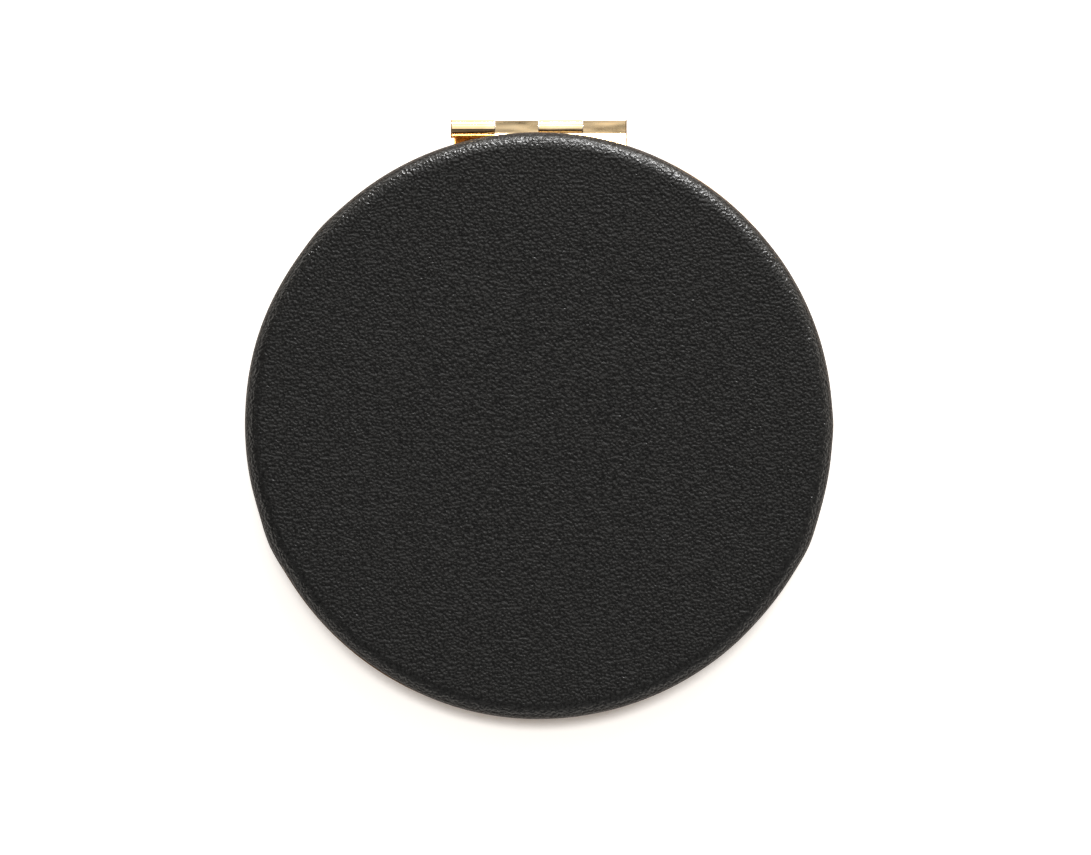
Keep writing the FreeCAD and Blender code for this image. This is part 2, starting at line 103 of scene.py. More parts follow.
# %% [markdown]
# ## Three small tools
# One function adds a node to a tree, sets it up and links what is already there. One starts a finish
# with an empty tree. The last turns a colour as it looks on a screen into the linear light that the
# shaders work with.

# %% Node and colour helpers
def add(tree, kind, inputs=None, **settings):
    """Adds a node, sets its properties, and links or sets its inputs by name or number."""
    made = tree.nodes.new(kind)
    for name, value in settings.items():
        setattr(made, name, value)
    for key, value in (inputs or {}).items():
        if isinstance(value, bpy.types.NodeSocket):
            tree.links.new(value, made.inputs[key])
        else:
            made.inputs[key].default_value = value
    return made


def new_finish(name):
    """A material, and its node tree with nothing in it."""
    material = bpy.data.materials.new(name)
    material.use_nodes = True
    material.node_tree.nodes.clear()
    return material, material.node_tree


def linear(hex_colour):
    """A screen colour such as #C0A060 as linear red, green, blue and alpha."""
    channels = [int(hex_colour[place : place + 2], 16) / 255 for place in (1, 3, 5)]
    curve = [c / 12.92 if c <= 0.04045 else ((c + 0.055) / 1.055) ** 2.4 for c in channels]
    return (*curve, 1.0)


print("mid grey is", round(linear("#808080")[0], 3), "in linear light")

# %% [markdown]
# ## Leather covers
# On the real object a round of thin leather is drawn over foam and board, folded under at the edge and
# glued down, and the back of the board goes on the tray. So the face is nearly flat, the edge is a soft
# quarter round, and the fold just above the metal has a small radius. The outline isn't quite a circle:
# hand-folded leather has flats and corners of a tenth or two of a millimetre. Where the hinge leaf lies
# on the tray the fold rides over it. A lathe shape would give a perfect ring, so the cover is made as a
# grid of sections instead, one section for each step round the rim, and each can differ a little.

# %% The section of a cover
EDGE_ROUND = 2.45  # height of the edge's quarter round
EDGE_REACH = 2.0  # its width, less than its height where the leather is drawn tight
FOLD_ROUND = 0.25
FACE_CROWN = 0.1  # the face is higher in the middle, over the foam
OVERHANG = 0.17  # soft leather bulges past the solid that stands for it
WIDE_ROWS = 28.0  # up to this radius the face is so flat that its rows lie further apart

rim_radius = COVER_RADIUS + OVERHANG
face_radius = rim_radius - EDGE_REACH
round_level = COVER_TOP - EDGE_ROUND
fold_top = COVER_FOOT + FOLD_ROUND


def outer_rows():
    """Radius and level from the middle of the face, over the edge, to the bottom of the fold."""
    face = np.concatenate([np.linspace(1, WIDE_ROWS, 21), np.linspace(WIDE_ROWS + 0.6, face_radius, 7)])
    face_level = COVER_TOP - FACE_CROWN * (face / face_radius) ** 2
    over = np.radians(np.linspace(5, 90, 18))
    edge = face_radius + EDGE_REACH * np.sin(over)
    edge_level = round_level + (EDGE_ROUND - FACE_CROWN) * np.cos(over)
    under = np.radians(np.linspace(0, 90, 5))
    fold = rim_radius - FOLD_ROUND + FOLD_ROUND * np.cos(under)
    fold_level = fold_top - FOLD_ROUND * np.sin(under)
    radius = np.concatenate([face, edge, fold])
    return radius, np.concatenate([face_level, edge_level, fold_level])


outer_radius, outer_level = outer_rows()
print(len(outer_radius), "rows from the middle of the face to the fold")

# %% [markdown]
# The flats and corners of the outline are a short list: where each is, counted in degrees from the
# right-hand side towards the near side, how wide it is, and how far the leather stands out or in.
# Noise would be quicker, but a list can follow what the photograph shows. The leaf's place in the fold
# follows from the leaf itself.

# %% Flats, corners and the leaf's place
STEPS = 600
OUTLINE_TOUCHES = [
    (0, 3.0, 0.09),
    (24, 4.5, 0.2),
    (28, 22.0, 0.09),
    (42, 7.0, -0.06),
    (121, 9.0, -0.1),
    (132, 17.0, -0.1),
    (148, 6.0, -0.08),
    (156, 3.5, 0.14),
    (164, 4.0, -0.05),
    (198, 12.0, 0.13),
    (222, 4.0, 0.1),
    (272, 14.0, -0.07),
    (303, 12.0, -0.1),
    (319, 6.0, -0.05),
    (345, 14.0, 0.05),
]
LEAF_LIFT = 0.62  # how far the leaf lifts the fold
LEAF_RAMP = 0.9  # over which length the lift grows
RAMP_LEAD = 1.2  # how many such lengths before the leaf it starts

turn = np.linspace(0, 2 * math.pi, STEPS, endpoint=False)  # clockwise from the hinge
across, along = np.sin(turn), np.cos(turn)


def smooth(value):
    """A soft step from 0 to 1."""
    value = np.clip(value, 0, 1)
    return value * value * (3 - 2 * value)


def outline_touch(angle):
    """How far the leather's edge stands out at each angle, in mm."""
    total = np.zeros_like(angle)
    for place, width, offset in OUTLINE_TOUCHES:
        away = (angle - place + 180) % 360 - 180
        total += offset * np.exp(-((away / width) ** 2))
    return total


touch = outline_touch((np.degrees(turn) - 90) % 360)
rim_across = COVER_RADIUS * across
from_left = smooth((rim_across - LEAF_LEFT) / LEAF_RAMP + RAMP_LEAD)
from_right = smooth((LEAF_RIGHT - rim_across) / LEAF_RAMP + RAMP_LEAD)
lift = LEAF_LIFT * from_left * from_right * (along > 0)
print(f"outline from {touch.min():.2f} to {touch.max():.2f} mm, fold lifted over {np.sum(lift > 0)} steps")

# %% [markdown]
# Each row becomes a ring of points. Three numbers go with a ring: how far it belongs to the face, to the
# edge and to the fold. The gathers and the finish need them later, because leather is stretched and worn
# by its place on the cover, not by its place in the room.

# %% The rings that show
LIFT_TOP = 4.2  # the fold's lift fades out up to this level
EDGE_TOP = 4.8  # below this level the leather is more and more stretched
TOUCH_FROM = 20.0  # the outline's flats and corners fade out from the rim to this radius


def outer_rings():
    """Radius, level and the three shares of each ring from the middle of the face to the fold."""
    made = []
    for radius, level in zip(outer_radius, outer_level):
        drawn = radius + touch * smooth((radius - TOUCH_FROM) / (COVER_RADIUS - TOUCH_FROM)) ** 2
        raised = level + lift * np.clip((LIFT_TOP - level) / (LIFT_TOP - COVER_FOOT), 0, 1)
        edge = smooth((EDGE_TOP - level) / (EDGE_TOP - round_level))
        fold = smooth((round_level - level) / (round_level - COVER_FOOT))
        made.append((drawn, raised, (1.0, edge, fold)))
    return made


rings = outer_rings()
print(len(rings), "rings of", STEPS, "points show")

# %% [markdown]
# From the fold the leather goes back under the board, then up into the hollow where board and foam lie,
# and to the middle again, so it is a closed shell with its real thickness. A Solidify modifier would do
# for an even sheet, but where the leaf is, the part under the board is cut away on the real cover, and
# rings can follow that.

# %% The rings under the board
LEATHER = 0.8
TURN_IN = 10.0  # how far the leather goes back under the board
TURN_IN_LEVEL = 2.9  # its upper side, where the board lies on it
LEAST_TURN_IN = 0.3  # least thickness of the leather there
CUT_ROOM = (0.4, 0.6)  # what is cut away to the left and the right of the leaf
CUT_LIP = 0.05  # how far outside the hollow's mouth the cut edge lies
HOLLOW_RADII = (28.0, 18.0, 8.0)  # rings on the inner side of the face
UNDERSIDE = (0.0, 1.0, 0.0)  # no face, all edge, no fold

round_centre = COVER_RADIUS - EDGE_ROUND
inner_round = EDGE_ROUND - LEATHER
inside_level = COVER_TOP - LEATHER


def under_rings(foot_radius, foot_level):
    """The rings from the bottom of the fold to the middle of the hollow."""
    mouth_level = np.maximum(TURN_IN_LEVEL, foot_level + LEAST_TURN_IN)
    mouth_rise = np.maximum(mouth_level - round_level, 0)
    mouth_radius = round_centre + np.sqrt(inner_round**2 - mouth_rise**2)
    cut_left = np.degrees(math.atan2(LEAF_LEFT - CUT_ROOM[0], LEAF_PLATE))
    cut_right = np.degrees(math.atan2(LEAF_RIGHT + CUT_ROOM[1], LEAF_PLATE))
    degrees = (np.degrees(turn) + 180) % 360 - 180
    cut = smooth(degrees - cut_left + 1) * smooth(cut_right - degrees + 1)
    inner_edge = COVER_RADIUS - TURN_IN + (mouth_radius + CUT_LIP - COVER_RADIUS + TURN_IN) * cut
    made = []
    for share in (0.15, 0.5, 1.0):
        made.append((foot_radius + (inner_edge - foot_radius) * share, foot_level, UNDERSIDE))
    for share in (0.0, 0.5, 1.0):
        made.append((inner_edge + (mouth_radius - inner_edge) * share, mouth_level, UNDERSIDE))
    mouth_angle = np.arcsin(mouth_rise / inner_round)
    for share in (0.2, 0.4, 0.6, 0.8, 1.0):
        angle = mouth_angle + (math.pi / 2 - mouth_angle) * share
        radius = round_centre + inner_round * np.cos(angle)
        made.append((radius, round_level + inner_round * np.sin(angle), UNDERSIDE))
    for radius in HOLLOW_RADII:
        made.append((np.full(STEPS, radius), np.full(STEPS, inside_level), UNDERSIDE))
    return made


rings += under_rings(rings[-1][0], rings[-1][1])
print(len(rings), "rings in all")

# %% [markdown]
# Neighbouring rings are joined by four-sided faces, and a fan of triangles closes each middle. The base's
# cover is the lid's after half a turn about the line from the hinge to the near side, so the same rings
# serve for both, and no face is turned inside out as it would be by a mirror image.

# %% A cover as a mesh
def cover_mesh(name, side):
    """Side is 1 for the lid, whose levels go up, and -1 for the base, which is turned over."""
    points, shares = [], []
    for radius, level, share in rings:
        place = np.stack([side * radius * across, radius * along, PARTING + side * level], axis=1)
        points.append(place * MM)
        shares += [share] * STEPS
    count = len(points)
    top = [0, 0, (PARTING + side * COVER_TOP) * MM]
    inside = [0, 0, (PARTING + side * inside_level) * MM]
    vertices = np.concatenate([*points, [top, inside]])
    shares = np.array([*shares, (1.0, 0.0, 0.0), UNDERSIDE], np.float32)
    faces = []
    step = np.arange(STEPS)
    following = (step + 1) % STEPS
    for ring in range(count - 1):
        here, there = ring * STEPS, (ring + 1) * STEPS
        corners = [here + step, here + following, there + following, there + step]
        faces += np.stack(corners, axis=1).tolist()
    faces += [(int(b), int(a), count * STEPS) for a, b in zip(step, following)]
    last = (count - 1) * STEPS
    faces += [(int(last + a), int(last + b), count * STEPS + 1) for a, b in zip(step, following)]
    mesh = bpy.data.meshes.new(name)
    mesh.from_pydata(vertices.tolist(), [], faces)
    for column, label in enumerate(("face_share", "edge_share", "fold_share")):
        values = mesh.attributes.new(label, "FLOAT", "POINT")
        values.data.foreach_set("value", np.ascontiguousarray(shares[:, column]))
    mesh.polygons.foreach_set("use_smooth", [True] * len(mesh.polygons))
    return mesh


covers = {}
for half, side in (("lid", 1), ("base", -1)):
    cover = bpy.data.objects.new(f"{half}_leather", cover_mesh(f"{half}_leather", side))
    bpy.context.scene.collection.objects.link(cover)
    covers[half] = cover
    print(cover.name, len(cover.data.vertices), "points")

# %% [markdown]
# Leather that is folded round a curve has too much length at the fold, so it gathers into small
# creases there. They repeat all round the rim, which is what Geometry Nodes are for: these nodes draw
# the fold in at regular but slightly shifted angles. The sharp side of a sine without its sign is the
# crease, and the fold's share keeps it off the face.

# %% Nodes that gather the fold
SHIFT_SIZE = 7 * MM  # the gathers wander over about this length
SHIFT = 9.0  # by up to this much of their phase, in radians


def gathers(tree, given, place):
    """How far each point moves towards the axis."""
    axes = add(tree, "ShaderNodeSeparateXYZ", {0: place}).outputs
    angle = add(tree, "ShaderNodeMath", {0: axes["X"], 1: axes["Y"]}, operation="ARCTAN2").outputs[0]
    shift = add(
        tree,
        "ShaderNodeTexNoise",
        {"Vector": place, "W": given["Seed"], "Scale": 1 / SHIFT_SIZE, "Detail": 1.0},
        noise_dimensions="4D",
    ).outputs["Fac"]
    turned = add(tree, "ShaderNodeMath", {0: angle, 1: given["Gathers"]}, operation="MULTIPLY").outputs[0]
    phase = add(
        tree, "ShaderNodeMath", {0: shift, 1: SHIFT, 2: turned}, operation="MULTIPLY_ADD"
    ).outputs[0]
    half_phase = add(tree, "ShaderNodeMath", {0: phase, 1: 0.5}, operation="MULTIPLY").outputs[0]
    wave = add(tree, "ShaderNodeMath", {0: half_phase}, operation="SINE").outputs[0]
    ridge = add(tree, "ShaderNodeMath", {0: wave}, operation="ABSOLUTE").outputs[0]
    crease = add(tree, "ShaderNodeMath", {0: 1.0, 1: ridge}, operation="SUBTRACT").outputs[0]
    fold = add(
        tree, "GeometryNodeInputNamedAttribute", {"Name": "fold_share"}, data_type="FLOAT"
    ).outputs[0]
    drawn = add(tree, "ShaderNodeMath", {0: crease, 1: fold}, operation="MULTIPLY").outputs[0]
    inwards = add(
        tree, "ShaderNodeMath", {0: drawn, 1: given["Gather Depth"]}, operation="MULTIPLY"
    ).outputs[0]
    flat = add(tree, "ShaderNodeCombineXYZ", {"X": axes["X"], "Y": axes["Y"]}).outputs[0]
    radial = add(tree, "ShaderNodeVectorMath", {0: flat}, operation="NORMALIZE").outputs[0]
    outwards = add(tree, "ShaderNodeMath", {0: inwards, 1: -1.0}, operation="MULTIPLY").outputs[0]
    return add(tree, "ShaderNodeVectorMath", {0: radial, "Scale": outwards}, operation="SCALE").outputs[0]


print("gathers wander over", round(SHIFT_SIZE / MM), "mm")

# %% [markdown]
# Leather over foam is never quite flat. It swells and sinks by a few hundredths of a millimetre, so that
# its shine isn't even. A bump in the finish would do for the shine, but moving the points also shows in
# the outline and in the exported mesh.

# %% Nodes that let the face swell
def swell(tree, given, place):
    """How far each point moves along its normal."""
    grown = add(tree, "ShaderNodeMath", {0: 1.0, 1: given["Swell Size"]}, operation="DIVIDE").outputs[0]
    hills = add(
        tree,
        "ShaderNodeTexNoise",
        {"Vector": place, "W": given["Seed"], "Scale": grown, "Detail": 2.0},
        noise_dimensions="4D",
    ).outputs["Fac"]
    centred = add(tree, "ShaderNodeMath", {0: hills, 1: 0.5}, operation="SUBTRACT").outputs[0]
    face = add(
        tree, "GeometryNodeInputNamedAttribute", {"Name": "face_share"}, data_type="FLOAT"
    ).outputs[0]
    rise = add(tree, "ShaderNodeMath", {0: centred, 1: face}, operation="MULTIPLY").outputs[0]
    height = add(
        tree, "ShaderNodeMath", {0: rise, 1: given["Swell Depth"]}, operation="MULTIPLY"
    ).outputs[0]
    normal = add(tree, "GeometryNodeInputNormal").outputs[0]
    return add(tree, "ShaderNodeVectorMath", {0: normal, "Scale": height}, operation="SCALE").outputs[0]


def gathered_leather():
    """The whole tree: both movements, then the leather's finish."""
    tree = bpy.data.node_groups.new("gathered_leather", "GeometryNodeTree")
    sockets = tree.interface
    sockets.new_socket("Geometry", in_out="INPUT", socket_type="NodeSocketGeometry")
    for label in ("Gathers", "Gather Depth", "Swell Depth", "Swell Size", "Seed"):
        sockets.new_socket(label, in_out="INPUT", socket_type="NodeSocketFloat")
    sockets.new_socket("Leather", in_out="INPUT", socket_type="NodeSocketMaterial")
    sockets.new_socket("Geometry", in_out="OUTPUT", socket_type="NodeSocketGeometry")
    given = add(tree, "NodeGroupInput").outputs
    place = add(tree, "GeometryNodeInputPosition").outputs[0]
    moves = {0: gathers(tree, given, place), 1: swell(tree, given, place)}
    offset = add(tree, "ShaderNodeVectorMath", moves, operation="ADD").outputs[0]
    moved = add(tree, "GeometryNodeSetPosition", {"Geometry": given["Geometry"], "Offset": offset}).outputs[0]
    whole = add(tree, "GeometryNodeRealizeInstances", {"Geometry": moved}).outputs[0]
    dressed = add(tree, "GeometryNodeSetMaterial", {"Geometry": whole, "Material": given["Leather"]})
    add(tree, "NodeGroupOutput", {0: dressed.outputs[0]})
    return tree


leather_tree = gathered_leather()
print("leather tree has", len(leather_tree.nodes), "nodes")

# %% [markdown]
# ## Black grained calf
# The leather itself is calf, dyed black and pressed with a fine grain, with a satin finish. What the eye
# gets is a near-black surface of tiny wavy wrinkles: the slope that faces the light is a pale dash, the
# one behind it is darker. Soft noise of the wrinkles' real size gives that, with a few cells mixed in for
# the pores between them.

# %% The pressed grain
WRINKLE = 0.32 * MM
PORE = 0.4 * MM
PORE_SOFTNESS = 0.34  # how far a pore's edge reaches into its cell
WRINKLE_SHARE, PORE_SHARE = 4.0, 0.3  # of the grain's height
WRINKLE_TOPS = (0.3, 0.65)  # from the creases to the tops that hands polish


def pressed_grain(tree, place):
    """The grain's height, and how far each point is on the top of a wrinkle."""
    wrinkles = add(
        tree, "ShaderNodeTexNoise", {"Vector": place, "Scale": 1 / WRINKLE, "Detail": 0.0, "Distortion": 0.3}
    ).outputs["Fac"]
    edge = add(
        tree, "ShaderNodeTexVoronoi", {"Vector": place, "Scale": 1 / PORE}, feature="DISTANCE_TO_EDGE"
    ).outputs["Distance"]
    cells = add(
        tree,
        "ShaderNodeMapRange",
        {"Value": edge, "From Max": PORE_SOFTNESS},
        interpolation_type="SMOOTHSTEP",
    ).outputs["Result"]
    deep = add(tree, "ShaderNodeMath", {0: wrinkles, 1: WRINKLE_SHARE}, operation="MULTIPLY").outputs[0]
    height = add(
        tree, "ShaderNodeMath", {0: cells, 1: PORE_SHARE, 2: deep}, operation="MULTIPLY_ADD"
    ).outputs[0]
    top = add(
        tree,
        "ShaderNodeMapRange",
        {"Value": wrinkles, "From Min": WRINKLE_TOPS[0], "From Max": WRINKLE_TOPS[1]},
    ).outputs["Result"]
    return height, top


print("wrinkles of", WRINKLE / MM, "mm, pores of", PORE / MM, "mm")

# %% [markdown]
# The colour is darker in the creases, which is painted shade, paler on the tops that hands polish, and a
# little uneven over larger patches. Where the leather is stretched round the edge, the black finish is thin
# and the hide's own brown shows through. The edge's share, which came with the mesh, says where that is.

# %% The dye, with painted shade in the creases
# the dark crease end is painted shade, the pale top end is polish
DYE_AND_CREASE_SHADE = ("#0C0B0A", "#1E1D1B")  # in the creases and on the tops
HIDE = "#261C15"
PATCH = 9 * MM
PATCH_SHARE = 0.35
BROWNED = (0.1, 0.8)  # shares of the edge between which the hide comes through


def dyed_and_shaded_hide(tree, place, top, stretched):
    """The tone of each point, from the creases in painted shade to the tops, and its colour."""
    patch = add(
        tree, "ShaderNodeTexNoise", {"Vector": place, "Scale": 1 / PATCH, "Detail": 3.0}
    ).outputs["Fac"]
    tone = add(
        tree, "ShaderNodeMath", {0: patch, 1: PATCH_SHARE, 2: top}, operation="MULTIPLY_ADD"
    ).outputs[0]
    # the ramp paints shade into the creases and makes the polished tops paler
    dye = add(tree, "ShaderNodeValToRGB", {"Fac": tone})
    dye.color_ramp.elements[0].color = linear(DYE_AND_CREASE_SHADE[0])
    dye.color_ramp.elements[1].color = linear(DYE_AND_CREASE_SHADE[1])
    worn = add(
        tree, "ShaderNodeMapRange", {"Value": stretched, "From Min": BROWNED[0], "From Max": BROWNED[1]}
    ).outputs["Result"]
    colour = add(
        tree,
        "ShaderNodeMix",
        {"Factor": worn, 6: dye.outputs["Color"], 7: linear(HIDE)},
        data_type="RGBA",
    ).outputs[2]
    return tone, colour


print("dye from", DYE_AND_CREASE_SHADE[0], "to", DYE_AND_CREASE_SHADE[1], "over a hide of", HIDE)

# %% [markdown]
# The creases get less shine than the tops, which is painted shade in them. Over the edge the shine goes dull,
# and it comes back at the fold, where fingers hold the case. Seen almost flat, the wrinkles hide each other
# and scatter the light, which a bump can't do, so the finish gets rougher there: Layer Weight says how far
# the surface is turned away.

# %% The satin finish
CREASE_DULL, TOP_DULL = 0.42, 0.27
EDGE_DULL = 0.2  # what the stretched edge adds to that
FLAT_SIGHT = (0.72, 0.94)  # from where the wrinkles begin to hide each other to where they all do
FLAT_SIGHT_DULL = 0.55
# the lower shine in the creases is painted shade
SHADED_CREASE_SHINE, TOP_SHINE = 0.22, 0.36
EDGE_POLISH = [(0.001, 1.0), (0.15, 0.2), (0.45, 0.2), (0.85, 0.6)]  # shares of the shine, face to fold


def satin(tree, tone, top, stretched):
    """Roughness, and how strong the shine is."""
    dull = add(
        tree, "ShaderNodeMapRange", {"Value": tone, "To Min": CREASE_DULL, "To Max": TOP_DULL}
    ).outputs["Result"]
    drawn = add(
        tree, "ShaderNodeMath", {0: stretched, 1: EDGE_DULL, 2: dull}, operation="MULTIPLY_ADD"
    ).outputs[0]
    facing = add(tree, "ShaderNodeLayerWeight", {"Blend": 0.5}).outputs["Facing"]
    scatter = add(
        tree,
        "ShaderNodeMapRange",
        {"Value": facing, "From Min": FLAT_SIGHT[0], "From Max": FLAT_SIGHT[1], "To Max": FLAT_SIGHT_DULL},
    ).outputs["Result"]
    rough = add(
        tree, "ShaderNodeMath", {0: drawn, 1: scatter}, operation="ADD", use_clamp=True
    ).outputs[0]
    # shine from the creases, in painted shade, to the tops
    shine = add(
        tree, "ShaderNodeMapRange", {"Value": top, "To Min": SHADED_CREASE_SHINE, "To Max": TOP_SHINE}
    ).outputs["Result"]
    polish = add(tree, "ShaderNodeValToRGB", {"Fac": stretched})
    stops = polish.color_ramp.elements
    for place_on_edge, share in EDGE_POLISH:
        stops.new(place_on_edge).color = (share, share, share, 1.0)
    stops.remove(stops[-1])
    stops.remove(stops[0])
    gloss = add(
        tree, "ShaderNodeMath", {0: shine, 1: polish.outputs["Color"]}, operation="MULTIPLY"
    ).outputs[0]
    return rough, gloss


print("roughness", TOP_DULL, "on the tops,", CREASE_DULL, "in the creases")

# %% [markdown]
# Grain, dye and shine come together in one shader. The grain is a bump, because wrinkles of a third of a
# millimetre on two covers would need millions of faces. Stretching pulls about half of it flat.

# %% Grain, dye and shine together
GRAIN_DEPTH = 0.036 * MM
GRAIN_LEFT = 0.55  # share of the grain's depth that is left on the stretched edge
FULLY_STRETCHED = 0.8


def grained_calf():
    material, tree = new_finish("black_grained_calf")
    place = add(tree, "ShaderNodeTexCoord").outputs["Object"]
    stretched = add(tree, "ShaderNodeAttribute", attribute_name="edge_share").outputs["Fac"]
    height, top = pressed_grain(tree, place)
    tone, colour = dyed_and_shaded_hide(tree, place, top, stretched)
    rough, gloss = satin(tree, tone, top, stretched)
    kept = add(
        tree,
        "ShaderNodeMapRange",
        {"Value": stretched, "From Max": FULLY_STRETCHED, "To Min": 1.0, "To Max": GRAIN_LEFT},
    ).outputs["Result"]
    bump = add(
        tree, "ShaderNodeBump", {"Height": height, "Strength": kept, "Distance": GRAIN_DEPTH}
    ).outputs["Normal"]
    shader = add(
        tree,
        "ShaderNodeBsdfPrincipled",
        {"Base Color": colour, "Roughness": rough, "Normal": bump, "Specular IOR Level": gloss},
    )
    add(tree, "ShaderNodeOutputMaterial", {"Surface": shader.outputs[0]})
    return material


calf = grained_calf()
print(calf.name, "has", len(calf.node_tree.nodes), "nodes")

# %% [markdown]
# Now the tree runs on both covers, with a seed for each, so that no two creases match. The result is made
# a plain mesh and the modifier goes, because the export takes meshes. Then each cover is given to its
# half: it rides on it and stands for the CAD cover.

# %% Dress the covers and give them to their halves
GATHERS = {"Gathers": 92.0, "Gather Depth": 0.05 * MM, "Swell Depth": 0.07 * MM, "Swell Size": 11 * MM}


def finish_cover(half, seed):
    cover = covers[half]
    gather = cover.modifiers.new("gathers", "NODES")
    gather.node_group = leather_tree
    for socket in leather_tree.interface.items_tree:
        if socket.in_out == "INPUT" and socket.name in GATHERS:
            gather[socket.identifier] = GATHERS[socket.name]
        elif socket.name == "Seed":
            gather[socket.identifier] = float(seed)
        elif socket.name == "Leather":
            gather[socket.identifier] = calf
    bpy.context.view_layer.update()
    evaluated = cover.evaluated_get(bpy.context.evaluated_depsgraph_get())
    plain = bpy.data.meshes.new_from_object(evaluated)
    cover.modifiers.remove(gather)
    cover.data = plain
    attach(cover, half)
    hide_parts(f"{half}_leather_cover")
    return cover


for half, seed in (("lid", 3), ("base", 8)):
    cover = finish_cover(half, seed)
    print(cover.name, len(cover.data.polygons), "faces")

# %% [markdown]
# ## Gold metal
# The trays, the hinge leaves and the rings round the glass are brass with a thin pale gold plating. A
# metal has no colour of its own beyond its reflection, so the base colour is that tint, and the finish
# says how the piece was made. Trays are drawn and polished. The lid's leaf is rolled strip with a satin
# skin that runs along it, and the base's round knuckles are burnished brighter. The rings are turned,
# with fine lines round their axis. So the marks are noise that is stretched the way the tool went.

# %% Marks and swells of the metal
TURNED_LINE = 0.12 * MM
ROLL_SHIFT = (7.5, 0.6, 0.9)  # which stretch of the uneven strip it is
ROLL_SCALE = (0.2 / MM, 0.7 / MM, 0.7 / MM)  # swells of about 5 mm along the strip and 1.4 mm across


def tool_marks(tree, place, lines):
    """Lines is the size of the marks along X, Y and Z in mm, or None for lines round the axis."""
    if lines is None:
        flat = add(tree, "ShaderNodeVectorMath", {0: place, 1: (1, 1, 0)}, operation="MULTIPLY").outputs[0]
        away = add(tree, "ShaderNodeVectorMath", {0: flat}, operation="LENGTH").outputs["Value"]
        turned = add(tree, "ShaderNodeMath", {0: away, 1: 1 / TURNED_LINE}, operation="MULTIPLY").outputs[0]
        wave = {"W": turned, "Scale": 1.0, "Detail": 3.0}
        return add(tree, "ShaderNodeTexNoise", wave, noise_dimensions="1D").outputs["Fac"]
    scale = [1 / (size * MM) for size in lines]
    spread = add(tree, "ShaderNodeMapping", {"Vector": place, "Scale": scale}).outputs[0]
    return add(tree, "ShaderNodeTexNoise", {"Vector": spread, "Scale": 1.0, "Detail": 4.0}).outputs["Fac"]


def rolled_swell(tree, place, depth):
    """The normal of strip that left the rolls a little uneven."""
    uneven = add(
        tree, "ShaderNodeMapping", {"Vector": place, "Location": ROLL_SHIFT, "Scale": ROLL_SCALE}
    ).outputs[0]
    hills = add(tree, "ShaderNodeTexNoise", {"Vector": uneven, "Scale": 1.0, "Detail": 1.0}).outputs["Fac"]
    return add(
        tree, "ShaderNodeBump", {"Height": hills, "Strength": 1.0, "Distance": depth * MM}
    ).outputs["Normal"]


print("turned lines", round(TURNED_LINE / MM, 2), "mm apart")

# %% [markdown]
# Plating isn't everywhere. Strip is cut to length after it is plated, so its ends are bare and dull, and the
# brown there is also painted shade along the leaf's edge. In the seam between tray and leather the metal
# turns brown, partly from polish and dust, partly as painted shade. Both follow from a distance that the
# piece's own coordinates give, with no need to paint a mask.

# %% Where the plating ends, and the seam's painted shade
CUT_END = (LEAF_RIGHT - 0.2, LEAF_RIGHT - 0.06)  # from the plating to the bare end of a strip
SEAM = (1.6, 1.8)  # levels from clean metal to the seam
# the brown of bare strip ends, and of dust and painted shade in a tray's seam
BARE_AND_SHADE_BROWN = "#6B4A2A"


def unbrowned_share(tree, place, seam):
    """1 on the plating and 0 where it turns brown: at a tray's seam, as dust and painted shade, or else at a
    strip's bare ends.
    """
    axes = add(tree, "ShaderNodeSeparateXYZ", {0: place}).outputs
    axis, middle, (clean, bare) = (axes["Z"], PARTING, SEAM) if seam else (axes["X"], 0.0, CUT_END)
    away = add(tree, "ShaderNodeMath", {0: axis, 1: middle * MM}, operation="SUBTRACT").outputs[0]
    far = add(tree, "ShaderNodeMath", {0: away}, operation="ABSOLUTE").outputs[0]
    return add(
        tree,
        "ShaderNodeMapRange",
        {"Value": far, "From Min": clean * MM, "From Max": bare * MM, "To Min": 1.0, "To Max": 0.0},
    ).outputs["Result"]


def brown_ends_and_seam_shade(tree, shader, plating, plated):
    """Turns the metal into a dull brown skin at a strip's bare ends, and in a tray's seam as dust and painted
    shade.
    """
    skin = {"Factor": plated, 6: linear(BARE_AND_SHADE_BROWN), 7: plating}
    colour = add(tree, "ShaderNodeMix", skin, data_type="RGBA").outputs[2]
    shine = add(tree, "ShaderNodeMath", {0: plated, 1: 0.5}, operation="MULTIPLY").outputs[0]
    tree.links.new(colour, shader.inputs["Base Color"])
    tree.links.new(plated, shader.inputs["Metallic"])
    tree.links.new(shine, shader.inputs["Specular IOR Level"])


print(f"bare from {CUT_END[0]:.2f} mm along the hinge, seam from level {SEAM[0]} mm")

# %% [markdown]
# One function makes the four gold finishes, since they differ only in tint, dullness, marks and swell.
# Clouds a few millimetres wide vary the tint, as plating does, and worn marks vary the dullness.

# %% Gold finishes
CLOUD = 4 * MM
CLOUD_STOPS = (0.3, 0.7)
MARKS_WEAR = (0.1, 0.5)
DULL_RANGE = (0.75, 1.35)  # of a finish's dullness, from little worn to well worn
HINGE_TINTS = ("#EDCB99", "#F7DCAF")


